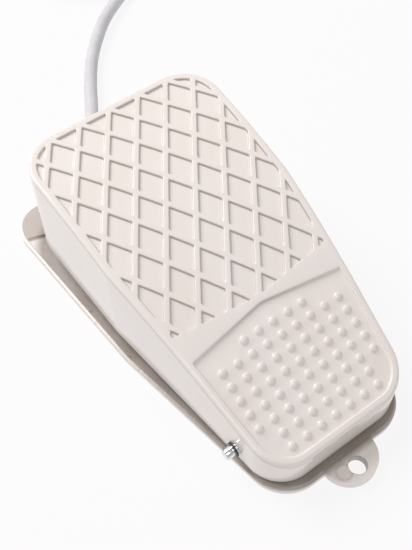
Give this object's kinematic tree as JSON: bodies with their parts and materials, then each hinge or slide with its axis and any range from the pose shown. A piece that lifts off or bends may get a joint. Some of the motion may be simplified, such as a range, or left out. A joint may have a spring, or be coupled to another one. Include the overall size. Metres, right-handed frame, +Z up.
{
  "type": "sewing machine foot switch",
  "caption": "Cast metal foot switch for a sewing machine: a cream painted tread pedal hinged at its heel on a cast base, with a snap switch inside and a grey mains lead.",
  "frame": {"origin": "middle of the housing's footprint on the floor", "axes": "+X to the user's right, +Y from the heel towards the toe end and the lead, +Z up"},
  "size_m": [0.1961, 0.4284, 0.0666],
  "materials": {
    "painted_pedal": "gloss",
    "painted_base": "gloss",
    "plated_pin": "polished",
    "black_steel": "satin",
    "steel": "satin",
    "brass": "satin",
    "black_rubber": "matte",
    "black_plastic": "matte",
    "red_plastic": "gloss",
    "dark_plastic": "matte",
    "grey_plastic": "satin",
    "brown_insulation": "satin",
    "blue_insulation": "satin",
    "green_insulation": "satin"
  },
  "bodies": {
    "base": {"base_casting": "painted_base", "rubber_feet": "black_rubber", "hinge_pin": "plated_pin", "pin_clips": "black_steel", "switch_case": "black_plastic", "switch_cover": "black_plastic", "switch_terminals": "brass", "fixed_contacts": "brass", "switch_screws": "steel", "switch_nuts": "steel", "return_spring": "steel", "spring_seat": "steel", "stop_bumpers": "black_rubber", "cord_clamp": "steel", "clamp_screws": "steel", "earth_screw": "brass", "earth_tag": "steel", "wire_live": "brown_insulation", "wire_neutral": "blue_insulation", "wire_earth": "green_insulation", "cord_bush": "dark_plastic", "cord_boot": "grey_plastic", "inner_cord": "grey_plastic", "cord": "grey_plastic", "cord_coil": "grey_plastic", "coil_tie": "dark_plastic", "plug_boot": "grey_plastic", "plug_body": "grey_plastic", "plug_pins": "brass"},
    "pedal": {"pedal_casting": "painted_pedal", "actuator_bracket": "steel", "bracket_screws": "steel", "adjusting_screw": "steel", "lock_nut": "steel"},
    "plunger": {"switch_plunger": "red_plastic"},
    "blade": {"contact_blade": "brass"}
  },
  "joints": [
    {"name": "pedal_hinge", "type": "hinge", "parent": "base", "child": "pedal", "pos_m": [0, -0.061, 0.0136], "axis": [1, 0, 0], "range_deg": [-4, 0], "stiffness_Nm_per_rad": 20, "springref_deg": 2.86, "deforming": ["return_spring"]},
    {"name": "plunger_slide", "type": "slide", "parent": "base", "child": "plunger", "axis": [0, 0, 1], "range_m": [-0.0034, 0], "stiffness_N_per_m": 20, "springref_m": 0.002},
    {"name": "blade_slide", "type": "slide", "parent": "base", "child": "blade", "axis": [0, 0, 1], "range_m": [-0.0034, 0], "stiffness_N_per_m": 20, "springref_m": 0.002}
  ],
  "couplings": [
    {"joint": "plunger_slide", "follows": "pedal_hinge", "m_per_rad": 0.047},
    {"joint": "blade_slide", "follows": "pedal_hinge", "m_per_rad": 0.047}
  ]
}
